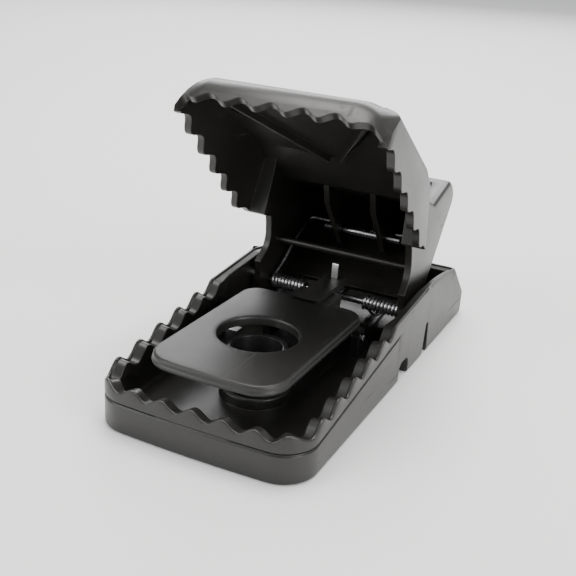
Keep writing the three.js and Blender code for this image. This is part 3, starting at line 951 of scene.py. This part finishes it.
def make_cup():
    """A round cup with a rolled lip, standing just above the tray's floor."""
    profile = [(0, 0), (5.9, 0), (6.15, 0.1), (6.2, 0.4), (6.2, 9.9), (6.35, 10.2), (6.9, 10.35),
               (7.1, 10.6), (7.1, 11.15), (6.98, 11.4), (6.7, 11.5), (5.95, 11.5), (5.7, 11.4),
               (5.6, 11.15), (5.15, 1.9), (4.8, 1.4), (4.2, 1.2), (1.4, 1.2), (1.2, 1.5),
               (0.8, 1.7), (0, 1.7)]
    return turned(profile, BAIT_Y, FLOOR_TOP + 0.3)


def round_hinge(x, radius, angle):
    """The point at a radius and angle about the hinge's line."""
    return Vector((x, HINGE_Y + radius * math.cos(angle), HINGE_Z + radius * math.sin(angle)))


def coil_point(side, t):
    angle = COIL_START + (COIL_END - COIL_START) * t
    return round_hinge(side * (COIL_IN + (COIL_OUT - COIL_IN) * t), COIL_RADIUS, angle)


def coil_path(side):
    """The leg along the tray's floor, and then the coil round the hinge rod."""
    low = FLOOR_TOP + 0.7
    leg = [Vector((side * COIL_IN, y, z)) for y, z in
           ((93, low), (90, low), (86, low), (82, low + 0.4), (79, low + 1.5),
            (76, low + 3.6), (73.4, low + 5.8))]
    steps = TURNS * 36
    return leg + [coil_point(side, i / steps) for i in range(steps + 1)]


def leg_path(side):
    """The end of the coil, the leg up to the spring bar and the bend behind it."""
    overlap = 0.02
    points = [coil_point(side, 1 - overlap + overlap * i / 6) for i in range(7)]
    reach = BAR_REACH + BAR_ROD_RADIUS + WIRE + 0.3
    for t in (0.3, 0.45, 0.6, 0.75, 0.88):
        points.append(round_hinge(side * (COIL_OUT - 1.6 * t), reach * t,
                                  BAR_ANGLE + 0.22 * (1 - t)))
    bend = [(0.955, 16.0), (0.985, 15.75), (1.0, 15.2), (1.0, 14.0), (1.0, 12.2), (1.0, 10.4),
            (1.0, 9.0)]
    points += [round_hinge(side * x, reach * r, BAR_ANGLE) for r, x in bend]
    return points


def wire(name, points, body, material):
    """A round spring wire along the points, as a mesh."""
    curve = bpy.data.curves.new(name, "CURVE")
    curve.dimensions = "3D"
    curve.bevel_depth = WIRE / 1000
    curve.bevel_resolution = 3
    curve.use_fill_caps = True
    spline = curve.splines.new("BEZIER")
    spline.bezier_points.add(len(points) - 1)
    for knot, point in zip(spline.bezier_points, points):
        knot.co = TRAY_PLACE @ point
        knot.handle_left_type = "AUTO"
        knot.handle_right_type = "AUTO"
    spline.resolution_u = 2 if len(points) > 60 else 6
    holder = bpy.data.objects.new(name, curve)
    bpy.context.scene.collection.objects.link(holder)
    graph = bpy.context.evaluated_depsgraph_get()
    mesh = bpy.data.meshes.new_from_object(holder.evaluated_get(graph))
    bpy.data.objects.remove(holder)
    mesh.name = name
    mesh.polygons.foreach_set("use_smooth", [True] * len(mesh.polygons))
    mesh.materials.clear()
    mesh.materials.append(material)
    made = bpy.data.objects.new(name, mesh)
    bpy.context.scene.collection.objects.link(made)
    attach(made, body)
    return made


# ---------- the finished pieces ----------

tray_black = moulded_plastic("tray_black", (0.0125, 0.012, 0.0105), 0.36, 0.00004)
jaw_black = moulded_plastic("jaw_black", (0.0125, 0.0118, 0.0095), 0.34, 0.00004)
treadle_black = moulded_plastic("treadle_black", (0.0125, 0.012, 0.011), 0.42, 0.00006)
cup_black = moulded_plastic("cup_black", (0.010, 0.010, 0.010), 0.30, 0.00003)
wire_steel = spring_steel("wire_steel", 0.22, (1.0, 1.0, 1.0))
pin_steel = spring_steel("pin_steel", 0.20, (0.05, 1.0, 1.0))

tray = piece("tray_moulding", make_tray(), TRAY_PLACE, "tray", tray_black, 0.15)
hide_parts("base_tray")
jaw = piece("jaw_moulding", make_jaw(), JAW_PLACE, "jaw", jaw_black, 0.18)
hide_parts("jaw_shell")
treadle = piece("treadle_moulding", stacked(treadle_plate(), treadle_hub()), TREADLE_PLACE,
                "trigger", treadle_black)
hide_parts("treadle")
catch = piece("catch_strip", make_catch(), TREADLE_PLACE, "trigger", pin_steel,
              0.12)
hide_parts("catch_hook")
cup = piece("cup_moulding", make_cup(), TRAY_PLACE, "cup", cup_black)
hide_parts("bait_cup")

hinge_rod = piece(
    "hinge_rod", rod(HINGE_ROD_RADIUS, -24.1, 24.1, HINGE_Y, HINGE_Z, 48, ROD_CHAMFER),
    TRAY_PLACE, "tray", pin_steel)
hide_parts("hinge_pin")
treadle_rod = piece(
    "treadle_rod", rod(TREADLE_ROD_RADIUS, -13.8, 13.8, PIVOT_Y, PIVOT_Z, 40, ROD_CHAMFER),
    TRAY_PLACE, "tray", pin_steel)
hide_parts("treadle_pin")
bar = piece(
    "bar_rod", rod(BAR_ROD_RADIUS, -11, 11, BAR_Y, BAR_Z, 48, ROD_CHAMFER),
    JAW_PLACE, "jaw", pin_steel)
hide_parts("spring_bar")

for word, side in (("left", -1), ("right", 1)):
    coil = wire(word + "_coil", coil_path(side), "tray", wire_steel)
    leg = wire(word + "_upper_leg", leg_path(side), "jaw", wire_steel)
    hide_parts(word + "_torsion_spring")
    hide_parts(word + "_torsion_spring")


# ---------- floor, light and camera ----------


def pale_floor():
    bm = bmesh.new()
    bmesh.ops.create_grid(bm, x_segments=1, y_segments=1, size=12.0)
    mesh = mesh_of(bm, "floor")
    finish = Finish("pale_floor")
    finish.set(Base_Color=(0.86, 0.86, 0.86, 1), Roughness=0.6)
    mesh.materials.append(finish.material)
    floor = bpy.data.objects.new("floor", mesh)
    floor.location.z = -0.0001
    bpy.context.scene.collection.objects.link(floor)


def soft_light(name, place, target, size, watts, colour=(1, 1, 1)):
    light = bpy.data.lights.new(name, "AREA")
    light.shape = "RECTANGLE"
    light.size, light.size_y = size
    light.energy = watts
    light.color = colour
    lamp = bpy.data.objects.new(name, light)
    lamp.location = place
    lamp.rotation_euler = (Vector(target) - Vector(place)).to_track_quat("-Z", "Y").to_euler()
    bpy.context.scene.collection.objects.link(lamp)


pale_floor()
soft_light("overhead", (0.0, 0.15, 0.75), (0, 0, 0.02), (0.7, 0.5), 9.0, (1.0, 0.98, 0.95))
soft_light("front_left", (-0.55, -0.55, 0.40), (0, 0, 0.02), (0.5, 0.5), 4.0)
soft_light("right_side", (0.75, -0.25, 0.35), (0, 0, 0.02), (0.3, 0.6), 4.5)
soft_light("behind", (-0.25, 0.70, 0.35), (0, 0, 0.04), (0.8, 0.25), 4.0)

world = bpy.data.worlds.new("studio")
world.use_nodes = True
world.node_tree.nodes["Background"].inputs["Color"].default_value = (0.95, 0.97, 1.0, 1)
world.node_tree.nodes["Background"].inputs["Strength"].default_value = 0.55
bpy.context.scene.world = world

AZIMUTH, ELEVATION, ROLL = math.radians(25.2), math.radians(22.7), math.radians(3.6)
CAMERA_X, CAMERA_AHEAD, CAMERA_HEIGHT = 0.0872, 143.3, 0.1086
back = Vector((
    math.sin(AZIMUTH) * math.cos(ELEVATION),
    -math.cos(AZIMUTH) * math.cos(ELEVATION),
    math.sin(ELEVATION),
))
lens = bpy.data.cameras.new("studio_camera")
lens.sensor_width = 36
lens.lens = 60
lens.clip_start = 0.01
camera = bpy.data.objects.new("studio_camera", lens)
camera.location = Vector(
    (CAMERA_X, HINGE.y - (CAMERA_AHEAD + HINGE_Y) / 1000, CAMERA_HEIGHT))
camera.rotation_euler = (
    (-back).to_track_quat("-Z", "Y").to_matrix() @ Matrix.Rotation(ROLL, 3, "Z")
).to_euler()
bpy.context.scene.collection.objects.link(camera)
bpy.context.scene.camera = camera
